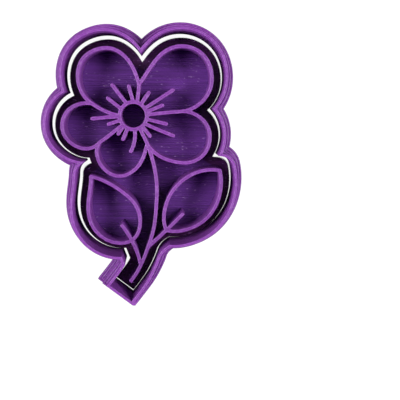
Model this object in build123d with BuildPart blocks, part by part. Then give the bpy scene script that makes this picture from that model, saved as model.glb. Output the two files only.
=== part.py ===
from build123d import *
import os

# Flower cutter with a loose embossing stamp, in millimetres, +Z up.
# The object is two prints: a cutter ring and a stamp that slides through it.
# Both lie with their backs on the table, so z = 0 is the table, and the blade and
# the ribs point up. The design is drawn about the flower's centre and then moved,
# so that the origin is the middle of the cutter's footprint.

# Flower design, seen from above with the stem towards -Y: sizes of the rib centrelines
flower_reach = 24.4
centre_ring_radius = 3.8
stem_length = 47.6
leaf_left_length = 21.6
leaf_left_width = 13.5
leaf_left_angle = 121.0
leaf_right_length = 22.9
leaf_right_width = 12.2
leaf_right_angle = 48.0

# Stamp: a thin plate that reaches plate_margin past the rib centrelines, and its ribs
rib_width = 1.05
rib_height = 8.4
plate_thickness = 1.6
plate_margin = 3.1

# Cutter ring: its gap to the stamp, then the thickness and height of each step of its wall
clearance = 0.70
flange_width = 3.1
flange_thickness = 2.4
wall_thickness = 1.8
wall_height = 6.4
blade_thickness = 0.8
blade_height = 4.0

# The loose stamp lies a little to the right of the ring's middle and towards the stem
stamp_drift_share = (0.32, -0.63)

# Junctions where two petals meet, and the outline points between them, in flower_reach
junction_left_share = (-0.46, 0.135)
junction_top_share = (0.07, 0.355)
junction_right_share = (0.57, 0.05)
junction_bottom_share = (0.155, -0.32)
junction_low_left_share = (-0.395, -0.31)
petal_top_left_shares = [
    (-0.60, 0.31),
    (-0.62, 0.48),
    (-0.56, 0.64),
    (-0.41, 0.74),
    (-0.24, 0.755),
    (-0.09, 0.67),
    (0.01, 0.525),
]
petal_top_right_shares = [
    (0.12, 0.425),
    (0.24, 0.60),
    (0.40, 0.745),
    (0.62, 0.78),
    (0.81, 0.68),
    (0.90, 0.48),
    (0.865, 0.26),
    (0.71, 0.10),
]
petal_right_shares = [
    (0.72, 0.01),
    (0.85, -0.115),
    (0.88, -0.285),
    (0.81, -0.445),
    (0.655, -0.535),
    (0.48, -0.53),
    (0.31, -0.47),
]
petal_bottom_shares = [
    (0.13, -0.415),
    (0.08, -0.535),
    (-0.01, -0.635),
    (-0.13, -0.69),
    (-0.26, -0.67),
    (-0.365, -0.58),
    (-0.42, -0.465),
]
petal_left_shares = [
    (-0.565, -0.375),
    (-0.70, -0.32),
    (-0.795, -0.205),
    (-0.805, -0.06),
    (-0.735, 0.065),
    (-0.60, 0.135),
]

# Dividers between petals: the angle where each leaves the centre ring, and where it bends
divider_left_angle = 180.0
divider_top_angle = 73.0
divider_right_angle = 4.0
divider_bottom_angle = 296.5
divider_low_left_angle = 220.0
divider_left_share = (-0.345, 0.065)
divider_top_share = (0.06, 0.25)
divider_right_share = (0.375, 0.035)
divider_bottom_share = (0.13, -0.26)
divider_low_left_share = (-0.30, -0.24)

# Leaf outlines from the base, in shares of the leaf's length along it and width across it
leaf_tip_share = (1.0, 0.0)
leaf_left_outer_shares = [
    (0.03, 0.17),
    (0.14, 0.385),
    (0.37, 0.53),
    (0.61, 0.455),
    (0.82, 0.22),
]
leaf_left_inner_shares = [
    (0.03, -0.17),
    (0.145, -0.36),
    (0.37, -0.475),
    (0.61, -0.39),
    (0.82, -0.225),
]
leaf_right_upper_shares = [
    (0.075, 0.20),
    (0.20, 0.37),
    (0.37, 0.49),
    (0.61, 0.495),
    (0.82, 0.345),
]
leaf_right_lower_shares = [
    (0.08, -0.21),
    (0.20, -0.375),
    (0.37, -0.50),
    (0.61, -0.495),
    (0.82, -0.325),
]

# Where each leaf hangs: its tip's drop below the flower's centre, in flower_reach, and
# its base's distance beside that centre, in stem_length
leaf_left_drop_share = 0.695
leaf_left_side_share = -0.02
leaf_right_drop_share = 0.635
leaf_right_side_share = 0.19

# Veins: from inside each leaf past its base, in the leaf's own shares as above
vein_left_shares = [(0.257, 0.0), (0.059, -0.015)]
vein_right_shares = [(0.305, -0.036), (0.114, -0.017)]

# Stem below the flower, in stem_length, with the points where the two veins join it
vein_left_end_share = (0.035, -0.895)
vein_right_end_share = (0.08, -0.785)
stem_shares = [
    (0.12, -0.30),
    (0.135, -0.425),
    (0.13, -0.545),
    (0.115, -0.67),
    vein_right_end_share,
    vein_left_end_share,
    (-0.03, -1.0),
]

# Stamens: angles at the root, the middle and the tip, and the tip's reach in flower_reach
stamen_shares = [
    (89.0, 95.5, 98.0, 0.36),
    (118.0, 122.5, 124.0, 0.44),
    (150.0, 147.0, 145.5, 0.37),
    (183.5, 183.5, 184.0, 0.49),
    (199.0, 199.0, 198.5, 0.32),
    (225.0, 228.5, 230.0, 0.29),
    (244.5, 245.5, 246.0, 0.315),
    (275.0, 272.5, 265.5, 0.43),
    (310.0, 309.5, 309.0, 0.32),
    (325.5, 331.0, 333.5, 0.535),
    (345.5, 346.0, 346.0, 0.41),
    (17.0, 18.5, 19.5, 0.375),
    (32.0, 32.5, 32.5, 0.565),
    (55.5, 55.5, 55.5, 0.34),
]

# Points on each side of a strip that follows a curved line, and the turn to its side
strip_steps = 24
quarter_turn = 90.0

# Places worked out from the sizes above
wall_base = flange_thickness
blade_base = wall_base + wall_height
opening_margin = plate_margin + clearance
stamp_drift = (clearance * stamp_drift_share[0], clearance * stamp_drift_share[1])
rib_end_radius = rib_width / 2
centre_ring_outer = centre_ring_radius + rib_width / 2


def at_size(share, size):
    return (share[0] * size, share[1] * size)


def on_circle(angle, radius):
    place = Vector(radius, 0).rotate(Axis.Z, angle)
    return (place.X, place.Y)


junction_left = at_size(junction_left_share, flower_reach)
junction_top = at_size(junction_top_share, flower_reach)
junction_right = at_size(junction_right_share, flower_reach)
junction_bottom = at_size(junction_bottom_share, flower_reach)
junction_low_left = at_size(junction_low_left_share, flower_reach)


class Petal:
    """The centreline points of one petal: its divider from the ring, then its round edge."""

    def __init__(self, name, start, shares, end, root_angle, bend_share):
        self.name = name
        self.start = start
        self.edge = [start] + [at_size(share, flower_reach) for share in shares] + [end]
        self.divider = [
            on_circle(root_angle, centre_ring_radius),
            at_size(bend_share, flower_reach),
            start,
        ]


class Leaf:
    """The centreline points of one leaf: its two edges from base to tip, and its vein."""

    def __init__(self, drop_share, side_share, length, width, angle,
                 first_shares, second_shares, vein_shares, vein_end_share):
        self.length = length
        self.width = width
        rise = on_circle(angle, length)[1]
        self.base = (stem_length * side_share, -flower_reach * drop_share - rise)
        self.turn = Location(self.base, angle)
        self.tip = self.place(leaf_tip_share)
        self.first_edge = [self.base] + [self.place(s) for s in first_shares] + [self.tip]
        self.second_edge = [self.base] + [self.place(s) for s in second_shares] + [self.tip]
        self.vein = [self.place(s) for s in vein_shares] + [at_size(vein_end_share, stem_length)]

    def place(self, share):
        spot = (self.turn * Location((share[0] * self.length, share[1] * self.width))).position
        return (spot.X, spot.Y)


petals = [
    Petal("top_left", junction_left, petal_top_left_shares, junction_top,
          divider_left_angle, divider_left_share),
    Petal("top_right", junction_top, petal_top_right_shares, junction_right,
          divider_top_angle, divider_top_share),
    Petal("right", junction_right, petal_right_shares, junction_bottom,
          divider_right_angle, divider_right_share),
    Petal("bottom", junction_bottom, petal_bottom_shares, junction_low_left,
          divider_bottom_angle, divider_bottom_share),
    Petal("left", junction_low_left, petal_left_shares, junction_left,
          divider_low_left_angle, divider_low_left_share),
]
leaf_left = Leaf(leaf_left_drop_share, leaf_left_side_share,
                 leaf_left_length, leaf_left_width, leaf_left_angle,
                 leaf_left_outer_shares, leaf_left_inner_shares,
                 vein_left_shares, vein_left_end_share)
leaf_right = Leaf(leaf_right_drop_share, leaf_right_side_share,
                  leaf_right_length, leaf_right_width, leaf_right_angle,
                  leaf_right_upper_shares, leaf_right_lower_shares,
                  vein_right_shares, vein_right_end_share)
stem_points = [junction_bottom] + [at_size(share, stem_length) for share in stem_shares]


# Outline of the design, filled and grown by a margin, which the plate and the ring share
def grown_flower(margin):
    with BuildSketch(mode=Mode.PRIVATE) as area:
        with BuildLine():
            for petal in petals:
                Spline(*petal.edge)
        make_face()
        offset(amount=margin, kind=Kind.ARC)
    return area.sketch


def grown_leaf(leaf, margin):
    with BuildSketch(mode=Mode.PRIVATE) as area:
        with BuildLine():
            Spline(*leaf.first_edge)
            Spline(*leaf.second_edge)
        make_face()
        offset(amount=margin, kind=Kind.ARC)
    return area.sketch


def smooth_line(points):
    with BuildLine(mode=Mode.PRIVATE):
        line = Spline(*points)
    return line


def grown_line(points, margin):
    """A strip of even width along a line, cut square at both ends."""
    middle = smooth_line(points)
    stations = [step / strip_steps for step in range(strip_steps + 1)]
    beside = [(middle % s).rotate(Axis.Z, quarter_turn) * margin for s in stations]
    left = [middle @ s + side for s, side in zip(stations, beside)]
    right = [middle @ s - side for s, side in zip(stations, beside)]
    with BuildSketch(mode=Mode.PRIVATE) as area:
        with BuildLine():
            Spline(*left)
            Spline(*right)
            Line(left[0], right[0])
            Line(left[-1], right[-1])
        make_face()
    return area.sketch


def grown_bend(points, margin):
    """The area within a margin of straight runs from point to point, open at the outer ends."""
    with BuildSketch(mode=Mode.PRIVATE) as area:
        for start, end in zip(points, points[1:]):
            ahead = (Vector(*end) - Vector(*start)).normalized() * margin
            beside = ahead.rotate(Axis.Z, quarter_turn)
            with BuildLine():
                Polyline(beside + start, beside + end, -beside + end, -beside + start, close=True)
            make_face()
        with Locations(*points[1:-1]):
            Circle(margin)
    return area.sketch


def grown_end(points, margin):
    """The square end that carries such a strip on past its line's end."""
    middle = smooth_line(points)
    end = middle @ 1
    ahead = (middle % 1) * margin
    beside = ahead.rotate(Axis.Z, quarter_turn)
    with BuildSketch(mode=Mode.PRIVATE) as area:
        with BuildLine():
            Polyline(end + beside, end + beside + ahead, end - beside + ahead, end - beside, close=True)
        make_face()
    return area.sketch


def outline(margin):
    with BuildSketch(mode=Mode.PRIVATE) as union:
        add(grown_flower(margin))
        add(grown_leaf(leaf_left, margin))
        add(grown_leaf(leaf_right, margin))
        add(grown_line(stem_points, margin))
        add(grown_end(stem_points, margin))
        add(grown_bend(leaf_left.vein, margin))
        add(grown_bend(leaf_right.vein, margin))
    with BuildSketch(mode=Mode.PRIVATE) as filled:
        make_face(union.face().outer_wire().edges())
    return filled.face().to_splines()


# Flat shapes of the ribs, each whole, before neighbours are cut out of it
def rib_line(points):
    return grown_line(points, rib_width / 2)


def petal_shape(petal):
    with BuildSketch(mode=Mode.PRIVATE) as shape:
        add(rib_line(petal.divider))
        add(rib_line(petal.edge))
        with Locations(petal.start):
            Circle(rib_end_radius)
    return shape.sketch


def leaf_shape(leaf):
    with BuildSketch(mode=Mode.PRIVATE) as shape:
        add(rib_line(leaf.first_edge))
        add(rib_line(leaf.second_edge))
        with Locations(leaf.base, leaf.tip):
            Circle(rib_end_radius)
    return shape.sketch


def stamen_shape(root_angle, middle_angle, tip_angle, reach_share):
    tip_radius = flower_reach * reach_share - rib_end_radius
    middle_radius = (centre_ring_radius + tip_radius) / 2
    tip = on_circle(tip_angle, tip_radius)
    root = on_circle(root_angle, centre_ring_radius)
    with BuildSketch(mode=Mode.PRIVATE) as shape:
        add(rib_line([root, on_circle(middle_angle, middle_radius), tip]))
        with Locations(tip):
            Circle(rib_end_radius)
    return shape.sketch


def biggest_face(shape):
    return shape.faces().sort_by(SortBy.AREA)[-1]


plate_outline = outline(plate_margin)
opening_outline = outline(opening_margin)
blade_outline = outline(opening_margin + blade_thickness)
wall_outline = outline(opening_margin + wall_thickness)
flange_outline = outline(opening_margin + flange_width)
footprint_middle = flange_outline.bounding_box().center()


def ring_level(height):
    return Plane((-footprint_middle.X, -footprint_middle.Y, height))


def stamp_level(height):
    return Plane((stamp_drift[0] - footprint_middle.X, stamp_drift[1] - footprint_middle.Y, height))


petal_shapes = [petal_shape(petal) for petal in petals]
stem_shape = rib_line(stem_points)
vein_left_shape = rib_line(leaf_left.vein)
vein_right_shape = rib_line(leaf_right.vein)
with BuildSketch() as centre_disc:
    Circle(centre_ring_outer)


os.makedirs("parts", exist_ok=True)


# Cutter ring: the flat rim that the hand presses on
with BuildPart() as cutter_flange:
    with BuildSketch(ring_level(0)):
        add(flange_outline)
        add(opening_outline, mode=Mode.SUBTRACT)
    extrude(amount=flange_thickness)
cutter_flange.part.label = "cutter_flange"
export_step(cutter_flange.part, "parts/cutter_flange.step")

# Cutter ring: the stiff lower wall
with BuildPart() as cutter_wall:
    with BuildSketch(ring_level(wall_base)):
        add(wall_outline)
        add(opening_outline, mode=Mode.SUBTRACT)
    extrude(amount=wall_height)
cutter_wall.part.label = "cutter_wall"
export_step(cutter_wall.part, "parts/cutter_wall.step")

# Cutter ring: the thin blade that cuts the dough
with BuildPart() as cutter_blade:
    with BuildSketch(ring_level(blade_base)):
        add(blade_outline)
        add(opening_outline, mode=Mode.SUBTRACT)
    extrude(amount=blade_height)
cutter_blade.part.label = "cutter_blade"
export_step(cutter_blade.part, "parts/cutter_blade.step")

# Stamp: the plate whose back is pushed
with BuildPart() as stamp_plate:
    with BuildSketch(stamp_level(0)):
        add(plate_outline)
    extrude(amount=plate_thickness)
stamp_plate.part.label = "stamp_plate"
export_step(stamp_plate.part, "parts/stamp_plate.step")

# Stamp: the round rib about the flower's open centre
with BuildPart() as centre_ring:
    with BuildSketch(stamp_level(plate_thickness)):
        Circle(centre_ring_outer)
        Circle(centre_ring_outer - rib_width, mode=Mode.SUBTRACT)
    extrude(amount=rib_height)
centre_ring.part.label = "centre_ring"
export_step(centre_ring.part, "parts/centre_ring.step")

# Stamp: one rib for each petal, which gives way to the next petal's rib at their junction
for index, petal in enumerate(petals):
    with BuildSketch() as own_share:
        add(petal_shapes[index])
        add(petal_shapes[(index + 1) % len(petals)], mode=Mode.SUBTRACT)
        add(centre_disc.sketch, mode=Mode.SUBTRACT)
    with BuildPart() as petal_rib:
        with BuildSketch(stamp_level(plate_thickness)):
            add(biggest_face(own_share.sketch))
        extrude(amount=rib_height)
    petal_rib.part.label = "petal_rib_" + petal.name
    export_step(petal_rib.part, "parts/petal_rib_" + petal.name + ".step")

# Stamp: the stamens, which stand apart from one another around the centre ring
with BuildSketch() as stamen_field:
    for stamen in stamen_shares:
        add(stamen_shape(*stamen))
    add(centre_disc.sketch, mode=Mode.SUBTRACT)
    for shape in petal_shapes:
        add(shape, mode=Mode.SUBTRACT)
with BuildPart() as stamens:
    with BuildSketch(stamp_level(plate_thickness)):
        for face in stamen_field.faces().sort_by(SortBy.AREA)[-len(stamen_shares):]:
            add(face)
    extrude(amount=rib_height)
stamens.part.label = "stamens"
export_step(stamens.part, "parts/stamens.step")

# Stamp: the stem, from the flower to its square end
with BuildSketch() as stem_share:
    add(stem_shape)
    for shape in petal_shapes:
        add(shape, mode=Mode.SUBTRACT)
with BuildPart() as stem_rib:
    with BuildSketch(stamp_level(plate_thickness)):
        add(biggest_face(stem_share.sketch))
    extrude(amount=rib_height)
stem_rib.part.label = "stem_rib"
export_step(stem_rib.part, "parts/stem_rib.step")

# Stamp: the vein of the left leaf, down to the stem
with BuildSketch() as vein_left_share:
    add(vein_left_shape)
    add(stem_shape, mode=Mode.SUBTRACT)
with BuildPart() as vein_left:
    with BuildSketch(stamp_level(plate_thickness)):
        add(biggest_face(vein_left_share.sketch))
    extrude(amount=rib_height)
vein_left.part.label = "vein_left"
export_step(vein_left.part, "parts/vein_left.step")

# Stamp: the vein of the right leaf, down to the stem
with BuildSketch() as vein_right_share:
    add(vein_right_shape)
    add(stem_shape, mode=Mode.SUBTRACT)
with BuildPart() as vein_right:
    with BuildSketch(stamp_level(plate_thickness)):
        add(biggest_face(vein_right_share.sketch))
    extrude(amount=rib_height)
vein_right.part.label = "vein_right"
export_step(vein_right.part, "parts/vein_right.step")

# Stamp: the edge of the left leaf
with BuildSketch() as leaf_left_share:
    add(leaf_shape(leaf_left))
    add(vein_left_shape, mode=Mode.SUBTRACT)
with BuildPart() as leaf_rib_left:
    with BuildSketch(stamp_level(plate_thickness)):
        add(biggest_face(leaf_left_share.sketch))
    extrude(amount=rib_height)
leaf_rib_left.part.label = "leaf_rib_left"
export_step(leaf_rib_left.part, "parts/leaf_rib_left.step")

# Stamp: the edge of the right leaf
with BuildSketch() as leaf_right_share:
    add(leaf_shape(leaf_right))
    add(vein_right_shape, mode=Mode.SUBTRACT)
with BuildPart() as leaf_rib_right:
    with BuildSketch(stamp_level(plate_thickness)):
        add(biggest_face(leaf_right_share.sketch))
    extrude(amount=rib_height)
leaf_rib_right.part.label = "leaf_rib_right"
export_step(leaf_rib_right.part, "parts/leaf_rib_right.step")
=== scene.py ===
"""A printed flower cutter with its loose embossing stamp, dressed for the camera.

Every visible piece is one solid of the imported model, printed: its outline is the solid's own,
its walls run straight up, and its top is laid in rounded lines that follow its edge. Lengths
are in millimetres, and points become metres only as they go into a mesh. The studio's lengths are
in metres, and a texture's scale counts its features in a metre.
"""

import logging
import math
from dataclasses import dataclass, field, replace
from enum import Enum
from typing import ClassVar

import bpy
import numpy as np
from mathutils import Matrix, Vector
from mathutils.geometry import delaunay_2d_cdt


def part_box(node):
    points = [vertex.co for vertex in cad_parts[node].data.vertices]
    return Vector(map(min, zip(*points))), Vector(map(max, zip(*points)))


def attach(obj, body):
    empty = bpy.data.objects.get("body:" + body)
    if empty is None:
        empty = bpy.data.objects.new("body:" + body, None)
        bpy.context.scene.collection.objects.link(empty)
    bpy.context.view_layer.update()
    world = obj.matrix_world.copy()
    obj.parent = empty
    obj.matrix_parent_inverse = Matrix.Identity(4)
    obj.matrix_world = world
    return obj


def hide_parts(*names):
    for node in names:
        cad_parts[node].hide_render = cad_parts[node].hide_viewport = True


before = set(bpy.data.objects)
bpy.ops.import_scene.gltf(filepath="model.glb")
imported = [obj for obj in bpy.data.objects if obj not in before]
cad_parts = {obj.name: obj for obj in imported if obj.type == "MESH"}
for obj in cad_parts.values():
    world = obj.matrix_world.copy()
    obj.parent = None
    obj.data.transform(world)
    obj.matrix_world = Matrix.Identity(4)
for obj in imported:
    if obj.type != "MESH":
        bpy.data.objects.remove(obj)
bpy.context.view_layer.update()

LOG = logging.getLogger("flower_cutter")
MM = 1000.0
"""Millimetres in a metre."""
SAME_LEVEL = 0.01
"""Largest difference between the heights of corners on one top face."""
WELD_DECIMALS = 4
"""Decimals to which two corners agree when they are one point."""
OUTLINE_CORNER = math.radians(38)
"""Smallest turn of an outline that counts as a corner."""
MESH_EDGE = math.radians(34)
"""Smallest fold between two faces that is shaded as an edge."""
PAIRS_AT_ONCE = 400_000
"""Most pairs of a point and a run that are compared in one go."""
SEARCH = 3.0
"""How far beyond some points' box the nearest run is looked for."""
NEARBY = 1.5
"""How far beyond a piece's box another's edge still shapes its top."""
NO_LENGTH = 1e-12
"""Least square of a run's length, so that nothing is divided by zero."""
LEAST_MITRE = 0.5
"""Least divisor of a mitre, so that a very sharp corner's stays short."""
EDGE_DISTANCE = "edge_distance"
"""Name of the number that each point of a piece carries: how far the open edge is."""
WHITE = (1.0, 1.0, 1.0, 1.0)
# The colour that the painted shade in the grooves goes towards.
BLACK = (0.0, 0.0, 0.0, 1.0)

Array = np.ndarray
Triple = tuple[float, float, float]
Colour = Triple
Socket = bpy.types.NodeSocket


class Print(Enum):
    """The two loose prints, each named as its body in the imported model."""

    CUTTER = "cutter"
    STAMP = "stamp"

    @property
    def slot(self) -> str:
        """The record's material slot of this print."""
        return f"{self.value}_plastic"


class Lay(Enum):
    """How the lines of a top layer were laid."""

    ROUND = "round the edge"
    ACROSS = "to and fro, inside a border"

    @property
    def contrast(self) -> float:
        """How far the deepest and the palest streak stray from the plastic's tone, as a share."""
        return 0.6 if self is Lay.ACROSS else 0.2

    @property
    def streak_scale(self) -> Triple:
        """The scale of the streaks along X, Y and Z."""
        return (60.0, 2300.0, 2600.0) if self is Lay.ACROSS else (240.0, 240.0, 2600.0)


# Outlines


def chained(starts: Array, ends: Array) -> list[Array]:
    """Orders the directed edges of some closed loops by pointer doubling.

    Each vertex looks one, then two, then four steps ahead and so on. That gives it the lowest
    vertex of its loop, and its count of steps to the vertex before that one.

    Args:
        starts: First vertex of each edge; every vertex starts one edge.
        ends: Last vertex of each edge.

    Returns:
        One array of vertices for each loop, in walking order.
    """
    names, edge_start = np.unique(starts, return_inverse=True)
    after = np.empty(len(names), int)
    after[edge_start] = np.searchsorted(names, ends)
    rounds = range(max(1, math.ceil(math.log2(len(names)))))
    lowest, ahead = np.arange(len(names)), after.copy()
    for _ in rounds:
        lowest = np.minimum(lowest, lowest[ahead])
        ahead = ahead[ahead]
    last = after == lowest
    ahead = np.where(last, np.arange(len(names)), after)
    steps = np.where(last, 0, 1)
    for _ in rounds:
        steps = steps + steps[ahead]
        ahead = ahead[ahead]
    order = np.lexsort((-steps, lowest))
    cuts = np.flatnonzero(np.diff(lowest[order])) + 1
    return [names[loop] for loop in np.split(order, cuts)]


def top_loops(node: str) -> list[Array]:
    """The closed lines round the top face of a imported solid.

    An edge lies on such a line when only one of the face's triangles has it.

    Args:
        node: Name of the solid's node.

    Returns:
        Points of each line in millimetres, with the solid on the left.
    """
    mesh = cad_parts[node].data
    mesh.calc_loop_triangles()
    places = np.empty(len(mesh.vertices) * 3, np.float32)
    mesh.vertices.foreach_get("co", places)
    places = places.reshape(-1, 3).astype(float) * MM
    corners = np.empty(len(mesh.loop_triangles) * 3, np.int32)
    mesh.loop_triangles.foreach_get("vertices", corners)
    corners = corners.reshape(-1, 3)
    on_top = np.all(places[corners, 2] > places[:, 2].max() - SAME_LEVEL, axis=1)
    flat = np.round(places[:, :2], WELD_DECIMALS)
    points, welded = np.unique(flat, axis=0, return_inverse=True)
    face = welded.reshape(-1)[corners[on_top]]
    starts, ends = face.reshape(-1), np.roll(face, -1, axis=1).reshape(-1)
    single = ~np.isin(starts * len(points) + ends, ends * len(points) + starts)
    return [points[loop] for loop in chained(starts[single], ends[single])]


def evened(points: Array, spacing: float) -> Array:
    """Lays points at an even spacing on a closed line.

    The line is a cubic curve through the given points, whose direction at each point is that of
    the parabola through it and its two neighbours. It breaks where it turns sharply.

    Args:
        points: The line's own points.
        spacing: Wanted distance between new points.

    Returns:
        The new points, with every corner among them.
    """
    chord = np.roll(points, -1, axis=0) - points
    length = np.linalg.norm(chord, axis=1)
    heading = chord / length[:, None]
    turn = np.arccos(np.clip((heading * np.roll(heading, 1, axis=0)).sum(1), -1, 1))
    sharp = turn > OUTLINE_CORNER
    if sharp.any():
        first = -int(np.flatnonzero(sharp)[0])
        points, length, heading, sharp = (
            np.roll(values, first, axis=0) for values in (points, length, heading, sharp)
        )
    behind = np.roll(length, 1)[:, None]
    ahead = length[:, None]
    tangent = (np.roll(heading, 1, axis=0) * ahead + heading * behind) / (ahead + behind)
    next_tangent = np.roll(tangent, -1, axis=0)
    sharp_start, sharp_end = sharp[:, None], np.roll(sharp, -1)[:, None]
    from_corner = np.where(sharp_end, heading, 2 * heading - next_tangent)
    to_corner = np.where(sharp_start, heading, 2 * heading - tangent)
    leave = np.where(sharp_start, from_corner, tangent)
    arrive = np.where(sharp_end, to_corner, next_tangent)
    travelled = np.concatenate([[0.0], np.cumsum(length)])
    stops = np.append(travelled[:-1][sharp], travelled[-1]) if sharp.any() else travelled[[0, -1]]
    place = np.concatenate([
        np.linspace(low, high, max(1, round((high - low) / spacing)), endpoint=False)
        for low, high in zip(stops[:-1], stops[1:])
    ])
    part = np.clip(np.searchsorted(travelled, place, side="right") - 1, 0, len(length) - 1)
    share = ((place - travelled[part]) / length[part])[:, None]
    run = length[part][:, None]
    following = np.roll(points, -1, axis=0)
    return (
        (1 + 2 * share) * (1 - share) ** 2 * points[part]
        + share * (1 - share) ** 2 * run * leave[part]
        + share**2 * (3 - 2 * share) * following[part]
        + share**2 * (share - 1) * run * arrive[part]
    )


def blocks(points: Array, runs: int) -> list[Array]:
    """Splits points so that each block can be compared with all the runs in one go."""
    return np.array_split(points, max(1, len(points) * runs // PAIRS_AT_ONCE))


def distance_to(points: Array, starts: Array, ends: Array) -> Array:
    """Distance from each point to the nearest of some straight runs.

    A point's nearest place on a run is its shadow on the run's line, kept between the ends.

    Args:
        points: Points in the plane.
        starts: First end of each run.
        ends: Last end of each run.

    Returns:
        One distance for each point.
    """
    low, high = points.min(0) - SEARCH, points.max(0) + SEARCH
    close = np.all((np.maximum(starts, ends) > low) & (np.minimum(starts, ends) < high), axis=1)
    if close.any():
        starts, ends = starts[close], ends[close]
    (x0, y0), (along_x, along_y) = starts.T, (ends - starts).T
    square = np.maximum(along_x**2 + along_y**2, NO_LENGTH)
    found = []
    for block in blocks(points, len(starts)):
        gap_x, gap_y = block[:, 0, None] - x0, block[:, 1, None] - y0
        share = np.clip((gap_x * along_x + gap_y * along_y) / square, 0, 1)
        away = (gap_x - share * along_x) ** 2 + (gap_y - share * along_y) ** 2
        found.append(np.sqrt(away.min(1)))
    return np.concatenate(found)


def inside(points: Array, starts: Array, ends: Array) -> Array:
    """Tells which points lie inside closed lines.

    A ray to the right of such a point crosses the lines an odd number of times.

    Args:
        points: Points in the plane.
        starts: First end of each run of the lines.
        ends: Last end of each run.

    Returns:
        A truth value for each point.
    """
    rise = ends[:, 1] - starts[:, 1]
    slope = (ends[:, 0] - starts[:, 0]) / np.where(rise == 0, 1.0, rise)
    found = []
    for block in blocks(points, len(starts)):
        x, y = block[:, 0, None], block[:, 1, None]
        spans = (starts[:, 1] > y) != (ends[:, 1] > y)
        crossed = spans & (x < starts[:, 0] + (y - starts[:, 1]) * slope)
        found.append(crossed.sum(1) % 2 == 1)
    return np.concatenate(found)


@dataclass
class Outline:
    """The closed lines round one printed piece, as evenly laid points.

    Attributes:
        points: All points, loop after loop.
        following: Index of the point that comes after each point.
        free: Whether each point lies on an open edge, not against another piece.
    """

    points: Array
    following: Array
    free: Array

    @classmethod
    def of(cls, node: str, spacing: float) -> "Outline":
        """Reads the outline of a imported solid.

        Args:
            node: Name of the solid's node.
            spacing: Distance between the points.

        Returns:
            The outline, with every point free.
        """
        loops = [evened(loop, spacing) for loop in top_loops(node)]
        first = np.cumsum([0] + [len(loop) for loop in loops])
        following = np.concatenate([
            low + np.roll(np.arange(high - low), -1) for low, high in zip(first[:-1], first[1:])
        ])
        low, high = (np.array(corner)[:2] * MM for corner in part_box(node))
        points = np.clip(np.concatenate(loops), low, high)
        return cls(points, following, np.ones(len(points), bool))

    @property
    def ends(self) -> Array:
        """The far end of the run that starts at each point."""
        return self.points[self.following]

    @property
    def free_runs(self) -> Array:
        """Which runs lie on an open edge from end to end."""
        return self.free & self.free[self.following]

    @property
    def outward(self) -> Array:
        """The direction away from the piece at each point, mitred where the line turns.

        It is the sum of the two runs' unit sides, divided by one and the cosine between them.

        Returns:
            One direction for each point, longer than one where the line turns.
        """
        along = self.ends - self.points
        along = along / np.linalg.norm(along, axis=1)[:, None]
        side = np.stack([along[:, 1], -along[:, 0]], axis=1)
        before = np.empty_like(side)
        before[self.following] = side
        divisor = np.maximum(1 + (side * before).sum(1), LEAST_MITRE)
        return (side + before) / divisor[:, None]

    def close_off(self, other: "Outline", reach: float = 0.04) -> None:
        """Marks the points that lie against another piece as not free."""
        self.free &= distance_to(self.points, other.points, other.ends) > reach


# Printed pieces


@dataclass(frozen=True)
class Beads:
    """The rounded lines of plastic that make a top.

    Attributes:
        width: Width of one line.
        rim: Radius of the outer line's shoulder.
        groove: Depth of the groove between two lines.
        count: How many lines follow the edge.
        beyond: Further distances from the edge that get points.
    """

    width: float
    rim: float
    groove: float
    count: float
    beyond: tuple[float, ...] = ()

    SHOULDER_ANGLES: ClassVar[tuple[float, ...]] = (18.0, 42.0, 66.0, 90.0)
    """Degrees round the shoulder's quarter circle at which it gets points."""
    GROOVE_PLACES: ClassVar[tuple[float, ...]] = (-0.35, -0.17, -0.07, 0.0, 0.07, 0.17, 0.35)
    """Places across a groove that get points, in widths of a line."""
    PAST_SHOULDER: ClassVar[float] = 1.15
    """Radii of the shoulder that the first point of a groove keeps away from the edge."""

    def drop(self, distance: Array) -> Array:
        """How far the top lies below its highest level.

        The shoulder is a quarter circle. Past the middle of the first line, each whole line width
        has a groove, the eighth power of a cosine of the distance.

        Args:
            distance: Distance from the nearest open edge.

        Returns:
            The drop at each distance.
        """
        within = np.clip(self.rim - distance, 0, self.rim)
        shoulder = self.rim - np.sqrt(self.rim**2 - within**2)
        groove = self.groove * np.cos(math.pi * distance / self.width) ** 8
        laid = (distance > self.width / 2) & (distance < self.width * self.count)
        return shoulder + np.where(laid, groove, 0.0)

    def stations(self) -> Array:
        """Distances from the edge at which the top needs points.

        Returns:
            Distances over the shoulder and over each groove, in order.
        """
        shoulder = self.rim * (1 - np.cos(np.radians(self.SHOULDER_ANGLES)))
        lines = np.arange(1, math.ceil(self.count))
        over = (lines[:, None] + np.array(self.GROOVE_PLACES)).reshape(-1)
        grooves = over[over < self.count] * self.width
        grooves = grooves[grooves > self.rim * self.PAST_SHOULDER]
        return np.concatenate([shoulder, grooves, self.beyond])


def filled(
    points: Array, outline: Outline, same_point: float = 1e-6, sliver: float = 1e-9
) -> Array:
    """Covers the area inside an outline with triangles.

    They are the Delaunay triangles of the points that keep the outline's runs as edges.

    Args:
        points: The outline's points, then any more inside it.
        outline: The lines that bound the area.
        same_point: Distance within which two points count as one.
        sliver: Twice the area under which a triangle is dropped.

    Returns:
        Three indices for each triangle, wound to face up.
    """
    runs = np.stack([np.arange(len(outline.following)), outline.following], axis=1)
    _, _, faces, sources, _, _ = delaunay_2d_cdt(
        [Vector(point) for point in points.tolist()], runs.tolist(), [], 0, same_point
    )
    source = np.array([ids[0] for ids in sources])
    triangles = source[np.array(faces)]
    first, second, third = (points[triangles[:, k]] for k in range(3))
    edge, other = second - first, third - first
    area = edge[:, 0] * other[:, 1] - edge[:, 1] * other[:, 0]
    kept = inside((first + second + third) / 3, outline.points, outline.ends)
    kept &= np.abs(area) > sliver
    triangles[area < 0] = triangles[area < 0][:, ::-1]
    return triangles[kept]


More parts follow.
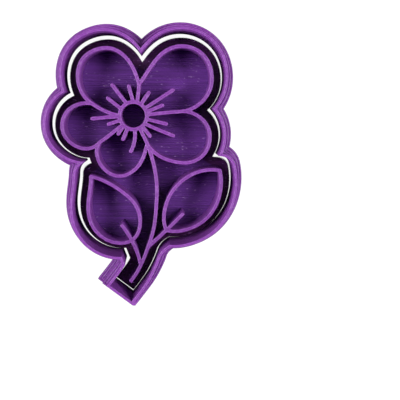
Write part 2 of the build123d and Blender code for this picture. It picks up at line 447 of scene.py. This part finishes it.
@dataclass
class PrintedPiece:
    """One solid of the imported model, as it comes off the printer.

    Attributes:
        node: Name of the solid's node.
        body: The print that it belongs to.
        beads: The lines of its top.
        finish: Its material.
        spacing: Distance between points along its edges.
        foot: Size of the slanted edge that lies on the table, or nothing.
        outline: The lines round it.
    """

    node: str
    body: Print
    beads: Beads
    finish: "Filament"
    spacing: float = 0.3
    foot: float = 0.0
    outline: Outline = field(init=False)

    COLLAR: ClassVar[float] = 1.5
    """Radii of the shoulder from the top down to a wall's highest row of points."""
    STILL_NEAREST: ClassVar[tuple[float, float]] = (0.97, 1e-3)
    """Share of its station, less a length, that a top's point keeps from every open edge."""
    SHY: ClassVar[tuple[float, float]] = (0.02, 0.04)
    """Least distance from the outline, as a length and as a share of the shoulder's radius."""
    APART: ClassVar[float] = 0.05
    """Side of the squares that each keep one of the top's points."""

    def __post_init__(self) -> None:
        """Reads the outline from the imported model."""
        self.outline = Outline.of(self.node, self.spacing)

    def build(self, joined: tuple["PrintedPiece", ...] = ()) -> bpy.types.Object:
        """Makes the piece's mesh, dresses it and puts it in its node's place.

        The wall is a straight profile carried along the outline. The top is a height over the
        plane, its beads' drop at the distance from the nearest open edge, with points at fixed
        distances inside that edge.

        Args:
            joined: Pieces whose tops run on into this one.

        Returns:
            The finished piece.
        """
        low, high = (np.array(corner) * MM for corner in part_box(self.node))
        outline = self.outline
        near = [piece.outline for piece in (self, *joined)]
        runs = [(o.points[o.free_runs], o.ends[o.free_runs]) for o in near]
        starts, ends = (np.concatenate(parts) for parts in zip(*runs))
        around = np.all((ends > low[:2] - NEARBY) & (ends < high[:2] + NEARBY), axis=1)
        starts, ends = starts[around], ends[around]
        inner = self.inner_points(near, starts, ends, low, high)
        plan = np.concatenate([outline.points, inner])
        edge_distance = distance_to(plan, starts, ends)
        top = np.column_stack([plan, high[2] - self.beads.drop(edge_distance)])
        rim, count = len(outline.points), len(plan)
        rows = self.wall_rows(low[2], high[2])
        vertices = np.concatenate([top, *rows])
        level = [count + np.arange(rim) + rim * row for row in range(len(rows))]
        level.append(np.arange(rim))
        wall = np.concatenate([
            np.stack([under, under[outline.following], over[outline.following], over], axis=1)
            for under, over in zip(level[:-1], level[1:])
        ])
        floor = filled(outline.points, outline)[:, ::-1] + count
        faces = [filled(plan, outline), floor, wall]
        piece = mesh_object(f"{self.node}_print", vertices, faces)
        far = np.full(len(vertices), self.beads.width / 2)
        far[:count] = edge_distance
        store(piece.data, EDGE_DISTANCE, far)
        piece.data.materials.append(self.finish.material())
        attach(piece, self.body.value)
        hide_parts(self.node)
        report(piece)
        return piece

    def wall_rows(self, low: float, high: float) -> list[Array]:
        """Rows of points up the wall, which is straight but for a slanted strip at the foot.

        Args:
            low: Height of the piece's underside.
            high: Height of its top.

        Returns:
            One row for each height, each with the outline's points.
        """
        edge, outward = self.outline.points, self.outline.outward
        levels = [(low, self.foot)]
        if self.foot:
            levels.append((low + self.foot, 0.0))
        levels.append((high - self.beads.rim * self.COLLAR, 0.0))
        return [
            np.column_stack([edge - outward * inset, np.full(len(edge), height)])
            for height, inset in levels
        ]

    def inner_points(
        self, near: list[Outline], starts: Array, ends: Array, low: Array, high: Array
    ) -> Array:
        """Points at the beads' stations inside the open edges.

        Each is an edge point moved inwards by a station's distance, and it is kept where that
        edge is still the nearest one.

        Args:
            near: Outlines of this piece and of those that run on into it.
            starts: First ends of the open edges' runs.
            ends: Last ends of those runs.
            low: Lowest corner of the piece's box.
            high: Highest corner of the box.

        Returns:
            The points, at least a little apart.
        """
        outline = self.outline
        edge = np.concatenate([o.points[o.free] for o in near])
        inward = -np.concatenate([o.outward[o.free] for o in near])
        close = np.all((edge > low[:2] - NEARBY) & (edge < high[:2] + NEARBY), axis=1)
        edge, inward = edge[close], inward[close]
        depth = self.beads.stations()
        points = (edge + inward * depth[:, None, None]).reshape(-1, 2)
        depths = np.repeat(depth, len(edge))
        within = inside(points, outline.points, outline.ends)
        points, depths = points[within], depths[within]
        share, slack = self.STILL_NEAREST
        points = points[distance_to(points, starts, ends) > depths * share - slack]
        length, share = self.SHY
        off_outline = distance_to(points, outline.points, outline.ends)
        points = points[off_outline > min(length, self.beads.rim * share)]
        _, first = np.unique(np.round(points / self.APART), axis=0, return_index=True)
        return points[np.sort(first)]


def mesh_object(name: str, vertices: Array, faces: list[Array]) -> bpy.types.Object:
    """Puts points and faces into a smooth mesh whose sharp edges stay sharp.

    Args:
        name: Name of the object and its mesh.
        vertices: Points in millimetres.
        faces: Arrays of faces, one array for each number of corners.

    Returns:
        The new object, in the scene.
    """
    corners = np.concatenate([part.reshape(-1) for part in faces]).astype(np.int32)
    sizes = np.concatenate([np.full(len(part), part.shape[1]) for part in faces]).astype(np.int32)
    mesh = bpy.data.meshes.new(name)
    mesh.vertices.add(len(vertices))
    mesh.vertices.foreach_set("co", (vertices / MM).astype(np.float32).reshape(-1))
    mesh.loops.add(len(corners))
    mesh.loops.foreach_set("vertex_index", corners)
    mesh.polygons.add(len(sizes))
    mesh.polygons.foreach_set("loop_start", (np.cumsum(sizes) - sizes).astype(np.int32))
    mesh.polygons.foreach_set("use_smooth", np.ones(len(sizes), bool))
    mesh.update(calc_edges=True)
    mesh.validate()
    mesh.set_sharp_from_angle(angle=MESH_EDGE)
    piece = bpy.data.objects.new(name, mesh)
    bpy.context.scene.collection.objects.link(piece)
    return piece


def store(mesh: bpy.types.Mesh, name: str, values: Array) -> None:
    """Keeps one number for each vertex under a name that a material can read."""
    attribute = mesh.attributes.new(name, "FLOAT", "POINT")
    attribute.data.foreach_set("value", values.astype(np.float32))


def report(piece: bpy.types.Object) -> None:
    """Logs a piece's triangles and its volume, which is above zero when its faces look outwards.

    The volume is the sum over the triangles of the box product of their corners, divided by six.

    Args:
        piece: The finished piece.
    """
    mesh = piece.data
    mesh.calc_loop_triangles()
    places = np.empty(len(mesh.vertices) * 3, np.float32)
    mesh.vertices.foreach_get("co", places)
    corners = np.empty(len(mesh.loop_triangles) * 3, np.int32)
    mesh.loop_triangles.foreach_get("vertices", corners)
    places = places.reshape(-1, 3).astype(float) * MM
    first, second, third = (places[corners.reshape(-1, 3)[:, k]] for k in range(3))
    volume = (first * np.cross(second, third)).sum() / 6
    LOG.info("%s: %d triangles, %.0f mm3", piece.name, len(mesh.loop_triangles), volume)


# Finishes


class Nodes:
    """Makes and joins the nodes of one material."""

    def __init__(self, tree: bpy.types.NodeTree) -> None:
        """Keeps the tree that the nodes go into."""
        self.tree = tree

    def add(
        self, kind: str, inputs: dict[str | int, object] | None = None, **settings: object
    ) -> bpy.types.Node:
        """Adds a node.

        Args:
            kind: Blender's name for the node, without its ShaderNode.
            inputs: What goes into its sockets: a value, or another node's output.
            settings: Its other properties.

        Returns:
            The node.
        """
        node = self.tree.nodes.new("ShaderNode" + kind)
        for name, value in settings.items():
            setattr(node, name, value)
        for socket, value in (inputs or {}).items():
            if isinstance(value, Socket):
                self.tree.links.new(value, node.inputs[socket])
            else:
                node.inputs[socket].default_value = value
        return node

    def math(self, operation: str, *values: Socket | float) -> Socket:
        """A sum on numbers.

        Args:
            operation: Blender's name for the sum.
            values: Numbers, or outputs of other nodes.

        Returns:
            The result.
        """
        return self.add("Math", dict(enumerate(values)), operation=operation).outputs[0]

    def mix(self, share: Socket, first: Socket, last: Socket | tuple[float, ...]) -> Socket:
        """A colour between two others.

        Args:
            share: From 0 at the first colour to 1 at the last one.
            first: Another node's colour.
            last: Another node's colour, or one that is given.

        Returns:
            The colour.
        """
        return self.add("MixRGB", {"Fac": share, "Color1": first, "Color2": last}).outputs[0]

    def between(self, value: Socket, low: float, high: float, top: float = 1.0) -> Socket:
        """A number that climbs evenly from nothing, and stays level at both ends.

        Args:
            value: What it follows.
            low: The value where it starts to climb.
            high: The value where it stops.
            top: The number from there on.

        Returns:
            The number.
        """
        inputs = {"Value": value, "From Min": low, "From Max": high, "To Max": top}
        return self.add("MapRange", inputs).outputs[0]

    def noise(self, place: Socket, scale: float, detail: float) -> Socket:
        """Soft random patches from 0 to 1.

        Args:
            place: Where the patches are read.
            scale: Patches in a metre, or 1 where the place is already scaled.
            detail: How many finer patterns are laid over them.

        Returns:
            The number.
        """
        inputs = {"Vector": place, "Scale": scale, "Detail": detail}
        return self.add("TexNoise", inputs).outputs["Fac"]

    def scaled(self, place: Socket, scale: Triple) -> Socket:
        """A place, scaled along X, Y and Z."""
        return self.add("Mapping", {"Vector": place, "Scale": scale}).outputs[0]

    def edge_distance(self) -> Socket:
        """The distance from the nearest open edge that the piece carries."""
        return self.add("Attribute", attribute_name=EDGE_DISTANCE).outputs["Fac"]


@dataclass(frozen=True)
class Filament:
    """Satin purple plastic, laid in lines by a printer.

    Attributes:
        name: The material's name.
        colour: The plastic's own colour.
        lay: How the top was laid.
        line: Width of one line.
        layer: Height of one layer.
        groove_shade: Share of painted shade in the groove between two lines.
        gloss: How strongly the skin mirrors light.
        border: Width of the border of a top laid to and fro.
        border_shade_colour: The plastic's colour in that border, darker as painted shade of the
            groove there.
        glint_colour: The colour of the small pale glints on such a top: painted highlight.
        glint_scale: The scale of those glints along X, Y and Z.
        glint_noise: Noise at which a glint begins and at which it is full.
        mottle_highlight_colour: The paler patches' colour: part uneven tone, part painted
            highlight.
        mottle_highlight_scale: The scale of those patches.
        mottle_highlight_noise: Noise at which a patch begins and at which it is full.
        mottle_highlight_share: How far the colour of a full patch takes over.
        grain_scale: The scale of the skin's unevenness.
        layer_relief: Height of a layer's bulge on a wall.
        line_relief: Height of a line laid to and fro.
        grain_relief: Height of the skin's unevenness.
        roughness: Roughness of the deepest and of the palest streak.
        ior: How strongly the plastic bends light.
    """

    name: str
    colour: Colour = (0.156, 0.033, 0.240)
    lay: Lay = Lay.ROUND
    line: float = 0.62
    layer: float = 0.2
    groove_shade: float = 0.45
    gloss: float = 0.35
    border: float = 2.25
    border_shade_colour: Colour = (0.070, 0.010, 0.090)
    glint_colour: Colour = (0.30, 0.16, 0.42)
    glint_scale: Triple = (800.0, 2300.0, 2300.0)
    glint_noise: tuple[float, float] = (0.66, 0.8)
    mottle_highlight_colour: Colour = (0.235, 0.085, 0.335)
    mottle_highlight_scale: float = 1100.0
    mottle_highlight_noise: tuple[float, float] = (0.42, 0.72)
    mottle_highlight_share: float = 0.6
    grain_scale: float = 1800.0
    layer_relief: float = 0.018
    line_relief: float = 0.09
    grain_relief: float = 0.012
    roughness: tuple[float, float] = (0.46, 0.34)
    ior: float = 1.47

    def material(self) -> bpy.types.Material:
        """The material, made at its first use.

        Returns:
            A material whose colour and gloss follow the lines, and whose bump has the layers on
            the walls, the lines on a top laid to and fro, and a fine grain all over.
        """
        made = bpy.data.materials.get(self.name)
        if made:
            return made
        made = bpy.data.materials.new(self.name)
        made.use_nodes = True
        made.diffuse_color = (*self.colour, 1.0)
        nodes = Nodes(made.node_tree)
        shader = made.node_tree.nodes["Principled BSDF"]
        place = nodes.add("TexCoord").outputs["Object"]
        height = nodes.math("ADD", self.layers(nodes, place), self.grain(nodes, place))
        streak = self.streaks(nodes, place)
        tint = self.ramp(nodes, streak, self.colour)
        if self.lay is Lay.ACROSS:
            height = nodes.math("ADD", height, self.raster(nodes, place))
            tint = self.shaded_border(nodes, streak, tint)
            tint = self.painted_glints(nodes, place, tint)
        else:
            tint = self.shade_grooves(nodes, self.mottled_highlight(nodes, place, tint))
        bump = nodes.add("Bump", {"Strength": 1.0, "Distance": 1.0, "Height": height})
        deep, pale = self.roughness
        rough = nodes.add("MapRange", {"Value": streak, "To Min": deep, "To Max": pale})
        for socket, source in (
            ("Base Color", tint),
            ("Roughness", rough.outputs[0]),
            ("Normal", bump.outputs[0]),
        ):
            made.node_tree.links.new(source, shader.inputs[socket])
        shader.inputs["IOR"].default_value = self.ior
        shader.inputs["Specular IOR Level"].default_value = self.gloss
        return made

    def ramp(self, nodes: Nodes, share: Socket, colour: Colour) -> Socket:
        """A colour that goes from its deeper to its paler tone.

        Args:
            nodes: Where the nodes are made.
            share: From 0 at the deeper tone to 1 at the paler one.
            colour: The colour between the two.

        Returns:
            The colour.
        """
        made = nodes.add("ValToRGB", {"Fac": share})
        spread = self.lay.contrast
        for end, strength in zip(made.color_ramp.elements, (1 - spread, 1 + spread)):
            end.color = (*(strength * part for part in colour), 1.0)
        return made.outputs[0]

    def shaded_border(self, nodes: Nodes, streak: Socket, tint: Socket) -> Socket:
        """Darkens the border as painted shade, going over into the top's colour in a line's
        width.

        Args:
            nodes: Where the nodes are made.
            streak: From 0 at a deeper streak to 1 at a paler one.
            tint: The colour inside the border.

        Returns:
            The colour.
        """
        blend = nodes.between(nodes.edge_distance(), self.border, self.border + self.line)
        return nodes.mix(blend, self.ramp(nodes, streak, self.border_shade_colour), tint)

    def painted_glints(self, nodes: Nodes, place: Socket, tint: Socket) -> Socket:
        """Paints short pale glints on the lines laid to and fro: painted highlight.

        Args:
            nodes: Where the nodes are made.
            place: The place on the object.
            tint: The colour between the glints.

        Returns:
            The colour.
        """
        noise = nodes.noise(nodes.scaled(place, self.glint_scale), scale=1.0, detail=1.0)
        share = nodes.between(noise, *self.glint_noise)
        return nodes.mix(share, tint, self.ramp(nodes, share, self.glint_colour))

    def mottled_highlight(self, nodes: Nodes, place: Socket, tint: Socket) -> Socket:
        """Adds paler patches about a line wide: part uneven tone, part painted highlight.

        Args:
            nodes: Where the nodes are made.
            place: The place on the object.
            tint: The colour between the patches.

        Returns:
            The colour.
        """
        noise = nodes.noise(place, self.mottle_highlight_scale, detail=2.0)
        share = nodes.between(noise, *self.mottle_highlight_noise, self.mottle_highlight_share)
        return nodes.mix(share, tint, self.ramp(nodes, noise, self.mottle_highlight_colour))

    def shade_grooves(self, nodes: Nodes, tint: Socket) -> Socket:
        """Paints shade into each groove between two lines, towards black.

        The share of painted shade is the fourth power of a cosine of the edge's distance, which
        is one at each whole width of a line.

        Args:
            nodes: Where the nodes are made.
            tint: The colour between the grooves.

        Returns:
            The colour.
        """
        angle = nodes.math("MULTIPLY", nodes.edge_distance(), math.pi / self.line)
        wave = nodes.math("ABSOLUTE", nodes.math("COSINE", angle))
        groove = nodes.math("POWER", wave, 4.0)
        return nodes.mix(nodes.math("MULTIPLY", groove, self.groove_shade), tint, BLACK)

    def layers(self, nodes: Nodes, place: Socket) -> Socket:
        """Bulges of the layers on a wall: a sine wave along Z, a little uneven.

        Args:
            nodes: Where the nodes are made.
            place: The place on the object.

        Returns:
            The height in metres.
        """
        inputs = {"Distortion": 0.5, "Detail": 1.0, "Detail Scale": 0.3}
        inputs |= {"Vector": place, "Scale": wave_scale(self.layer)}
        wave = nodes.add("TexWave", inputs, bands_direction="Z").outputs["Fac"]
        return nodes.math("MULTIPLY", wave, self.layer_relief / MM)

    def raster(self, nodes: Nodes, place: Socket) -> Socket:
        """Lines laid to and fro along X, inside the border: a sine wave along Y, a little uneven.

        Args:
            nodes: Where the nodes are made.
            place: The place on the object.

        Returns:
            The height in metres.
        """
        inputs = {"Distortion": 0.6, "Detail": 2.0, "Detail Scale": 0.6}
        inputs |= {"Vector": place, "Scale": wave_scale(self.line)}
        wave = nodes.add("TexWave", inputs, bands_direction="Y").outputs["Fac"]
        within = nodes.math("GREATER_THAN", nodes.edge_distance(), self.border)
        lines = nodes.math("MULTIPLY", wave, within)
        return nodes.math("MULTIPLY", lines, self.line_relief / MM)

    def grain(self, nodes: Nodes, place: Socket) -> Socket:
        """Fine unevenness of the plastic's skin, in metres."""
        noise = nodes.noise(place, self.grain_scale, detail=3.0)
        return nodes.math("MULTIPLY", noise, self.grain_relief / MM)

    def streaks(self, nodes: Nodes, place: Socket) -> Socket:
        """Long flecks that run with the lines, from 0 to 1."""
        return nodes.noise(nodes.scaled(place, self.lay.streak_scale), scale=1.0, detail=2.0)


def wave_scale(period: float) -> float:
    """The scale of Blender's wave texture whose waves are a period in millimetres apart.

    The texture is the sine of the place times the scale times twenty.

    Args:
        period: Distance between two waves, in millimetres.

    Returns:
        The scale.
    """
    return 2 * math.pi * MM / (20 * period)


@dataclass(frozen=True)
class LitFloor:
    """A pale table that is lit from within, so that it stays white under the object.

    Attributes:
        name: The material's name.
        glow: Strength of its own light in the open.
        colour: Its colour under the lamps.
        roughness: How dull it is.
        reach: How far round a spot the things that shade it are looked for.
        narrow: Open share of the sky at which a crack is dark, and at which it is white again.
        rays: Directions in which each spot looks for the sky.
    """

    name: str = "lit_floor"
    glow: float = 0.98
    colour: Colour = (0.06, 0.06, 0.06)
    roughness: float = 0.9
    reach: float = 0.012
    narrow: tuple[float, float] = (0.012, 0.045)
    rays: int = 32

    def material(self) -> bpy.types.Material:
        """The material, whose glow fades in a narrow crack, where little light gets down.

        Returns:
            A material that glows by the open share of the sky over each spot.
        """
        made = bpy.data.materials.new(self.name)
        made.use_nodes = True
        nodes = Nodes(made.node_tree)
        shader = made.node_tree.nodes["Principled BSDF"]
        shader.inputs["Base Color"].default_value = (*self.colour, 1.0)
        shader.inputs["Roughness"].default_value = self.roughness
        shader.inputs["Emission Color"].default_value = WHITE
        # Painted shade: the floor's glow dims in a narrow crack by the open share of the sky.
        sky = nodes.add("AmbientOcclusion", {"Distance": self.reach}, samples=self.rays)
        glow = nodes.between(sky.outputs["AO"], *self.narrow, self.glow)
        made.node_tree.links.new(glow, shader.inputs["Emission Strength"])
        return made


# The two prints


@dataclass
class CutterRing:
    """The ring that cuts: a flange to press on, a stiff wall and a thin blade.

    Attributes:
        line: Width of a printed line on the flange and the wall.
        lines: How many lines follow the edge there.
        blade_line: Width of a printed line on the blade, of which it has two.
        blade_lines: How many lines follow its edge, so that one groove lies in the middle.
        shoulder: Radius of the top edges of the flange and the wall.
        blade_shoulder: Radius of the blade's top edges.
        groove: Depth between two lines on the flange and the wall.
        blade_groove: Depth between the blade's two lines.
        foot: Size of the slanted edge on the table.
        finish: The plastic of the flange and the wall, and of the blade with its own lines.
    """

    line: float = 0.62
    lines: float = 2.9
    blade_line: float = 0.4
    blade_lines: float = 1.3
    shoulder: float = 0.2
    blade_shoulder: float = 0.16
    groove: float = 0.1
    blade_groove: float = 0.05
    foot: float = 0.15
    finish: Filament = Filament("cutter_filament", (0.180, 0.036, 0.274))

    def build(self) -> list[bpy.types.Object]:
        """Makes the three steps of the ring, from the table up.

        Returns:
            The pieces.
        """
        stepped = Beads(self.line, self.shoulder, self.groove, self.lines)
        thin = Beads(self.blade_line, self.blade_shoulder, self.blade_groove, self.blade_lines)
        blade_finish = replace(self.finish, name="blade_filament", line=self.blade_line)
        flange = PrintedPiece("cutter_flange", Print.CUTTER, stepped, self.finish, foot=self.foot)
        wall = PrintedPiece("cutter_wall", Print.CUTTER, stepped, self.finish)
        blade = PrintedPiece("cutter_blade", Print.CUTTER, thin, blade_finish)
        flange.outline.close_off(wall.outline)
        wall.outline.close_off(blade.outline)
        return [flange.build(), wall.build(), blade.build()]


@dataclass
class EmbossingStamp:
    """The stamp: a thin plate with the flower's ribs standing on it.

    Attributes:
        plate_line: Width of a line that follows the plate's edge.
        plate_lines: How many such lines there are.
        plate_groove: Depth between two of them.
        plate_middle: Distances from the edge of the rest of the plate's points.
        rib_line: Width of a printed line on a rib, of which it has two.
        rib_lines: How many lines follow a rib's edge, so that one groove lies in the middle.
        rib_groove: Depth between a rib's two lines.
        rib_spacing: Distance between points along a rib's edge.
        shoulder: Radius of the top edges.
        foot: Size of the slanted edge on the table.
        plate_finish: The plate's plastic, whose line is that of the lines laid to and fro.
        rib_finish: The ribs' plastic.
        ribs: Names of the rib pieces.
    """

    plate_line: float = 0.42
    plate_lines: float = 2.9
    plate_groove: float = 0.036
    plate_middle: tuple[float, ...] = (1.7, 2.3, 2.85, 3.6, 4.8, 6.4, 8.2)
    rib_line: float = 0.525
    rib_lines: float = 1.2
    rib_groove: float = 0.06
    rib_spacing: float = 0.22
    shoulder: float = 0.22
    foot: float = 0.15
    plate_finish: Filament = Filament(
        "plate_filament", (0.112, 0.028, 0.222), Lay.ACROSS, line=0.55, gloss=0.3
    )
    rib_finish: Filament = Filament("rib_filament", line=rib_line, groove_shade=0.25)
    ribs: tuple[str, ...] = (
        "centre_ring",
        "petal_rib_top_left",
        "petal_rib_top_right",
        "petal_rib_right",
        "petal_rib_bottom",
        "petal_rib_left",
        "stamens",
        "stem_rib",
        "vein_left",
        "vein_right",
        "leaf_rib_left",
        "leaf_rib_right",
    )

    def build(self) -> list[bpy.types.Object]:
        """Makes the plate, then the ribs, whose tops run into one another.

        Returns:
            The pieces.
        """
        flat = Beads(
            self.plate_line, self.shoulder, self.plate_groove, self.plate_lines, self.plate_middle
        )
        thin = Beads(self.rib_line, self.shoulder, self.rib_groove, self.rib_lines)
        plate = PrintedPiece("stamp_plate", Print.STAMP, flat, self.plate_finish, foot=self.foot)
        ribs = [
            PrintedPiece(name, Print.STAMP, thin, self.rib_finish, spacing=self.rib_spacing)
            for name in self.ribs
        ]
        for rib in ribs:
            for other in ribs:
                if other is not rib:
                    rib.outline.close_off(other.outline)
        made = [plate.build()]
        for rib in ribs:
            made.append(rib.build(tuple(other for other in ribs if other is not rib)))
        return made


# The studio


@dataclass(frozen=True)
class Lamp:
    """A soft rectangular lamp that looks at the object.

    Attributes:
        name: The lamp's name.
        turn: Where it stands, in degrees from +X towards +Y.
        rise: Its height above the table, in degrees.
        reach: Its distance from the object.
        size: Its width and height.
        power: Its power, in watts.
    """

    name: str
    turn: float
    rise: float
    reach: float
    size: tuple[float, float]
    power: float

    def place(self, aim: Vector) -> None:
        """Puts the lamp into the scene, on a sphere round the point that it looks at.

        Args:
            aim: That point.
        """
        data = bpy.data.lights.new(self.name, "AREA")
        data.shape = "RECTANGLE"
        data.size, data.size_y = self.size
        data.energy = self.power
        turn, rise = math.radians(self.turn), math.radians(self.rise)
        level = math.cos(rise)
        outward = Vector((math.cos(turn) * level, math.sin(turn) * level, math.sin(rise)))
        lamp = bpy.data.objects.new(self.name, data)
        lamp.location = aim + outward * self.reach
        lamp.rotation_euler = outward.to_track_quat("Z", "Y").to_euler()
        bpy.context.scene.collection.objects.link(lamp)


@dataclass
class Studio:
    """A pale table, soft lamps round the object, and the camera above the flower.

    Attributes:
        aim: Name of the solid in the middle of the flower.
        eye: The camera's place from the middle of that solid's foot, in millimetres.
        right: The picture's direction to the right.
        up: The picture's upward direction.
        lens: Focal length of the camera, in millimetres.
        sensor: Width of its picture, in millimetres.
        nearest: Distance from which on it sees things.
        floor_size: Side of the table.
        floor_grid: Points along each side.
        floor_drop: How far the table lies under the object, in millimetres.
        flat: Radius of the table's flat middle.
        sky: Strength of the light from all round.
        lit: The point that the lamps look at.
        lamps: The lamps.
    """

    aim: str = "centre_ring"
    eye: Triple = (7.857, 1.828, 207.46)
    right: Triple = (0.998504, 0.0, 0.05467)
    up: Triple = (0.007041, 0.991673, -0.12860)
    lens: float = 63.0
    sensor: float = 36.0
    nearest: float = 0.01
    floor_size: float = 6.0
    floor_grid: int = 49
    floor_drop: float = 0.02
    flat: float = 1.1
    sky: float = 0.006
    lit: Triple = (0.0, 0.0, 0.005)
    lamps: tuple[Lamp, ...] = (
        Lamp("left", 166.0, 47.0, 0.9, (0.65, 0.28), 8.5),
        Lamp("right", 10.0, 45.0, 0.9, (0.65, 0.28), 8.8),
        Lamp("low_left", 203.0, 15.0, 0.7, (0.6, 0.15), 5.0),
        Lamp("low_right", 315.0, 15.0, 0.7, (0.7, 0.15), 5.0),
        Lamp("above", 100.0, 70.0, 1.0, (0.5, 0.4), 0.5),
    )

    def build(self) -> None:
        """Sets the table, the light and the camera."""
        self.table()
        world = bpy.data.worlds.new("studio_sky")
        world.use_nodes = True
        background = world.node_tree.nodes["Background"]
        background.inputs["Color"].default_value = WHITE
        background.inputs["Strength"].default_value = self.sky
        bpy.context.scene.world = world
        for lamp in self.lamps:
            lamp.place(Vector(self.lit))
        self.camera()
        bpy.context.scene.view_settings.view_transform = "Standard"

    def table(self) -> None:
        """Makes the table, flat under the object and swept up far round it, as staging.

        Its height in metres is the square of how far a point lies beyond the flat middle.
        """
        across = np.linspace(-0.5, 0.5, self.floor_grid) * self.floor_size * MM
        x, y = (part.reshape(-1) for part in np.meshgrid(across, across))
        beyond = np.clip(np.hypot(x, y) - self.flat * MM, 0, None) / MM
        points = np.column_stack([x, y, beyond**2 * MM - self.floor_drop])
        index = np.arange(x.size).reshape(self.floor_grid, self.floor_grid)
        corners = [index[:-1, :-1], index[:-1, 1:], index[1:, 1:], index[1:, :-1]]
        faces = np.stack([corner.reshape(-1) for corner in corners], axis=1)
        floor = mesh_object("studio_floor", points, [faces])
        floor.data.materials.append(LitFloor().material())
        floor.visible_diffuse = False
        floor.visible_glossy = False

    def camera(self) -> None:
        """Sets the camera as it stood for the photograph, nearly overhead."""
        right, up = Vector(self.right).normalized(), Vector(self.up).normalized()
        data = bpy.data.cameras.new("photo_camera")
        data.sensor_width = self.sensor
        data.lens = self.lens
        data.clip_start = self.nearest
        camera = bpy.data.objects.new("photo_camera", data)
        turned = Matrix((right, up, right.cross(up))).transposed().to_4x4()
        low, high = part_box(self.aim)
        foot = Vector(((low.x + high.x) / 2, (low.y + high.y) / 2, 0.0))
        camera.matrix_world = Matrix.Translation(foot + Vector(self.eye) / MM) @ turned
        bpy.context.scene.collection.objects.link(camera)
        bpy.context.scene.camera = camera


def main() -> None:
    """Builds the two prints and the studio."""
    logging.basicConfig(level=logging.INFO, format="%(message)s")
    pieces = CutterRing().build() + EmbossingStamp().build()
    Studio().build()
    LOG.info("%d pieces", len(pieces))


if __name__ == "__main__":
    main()
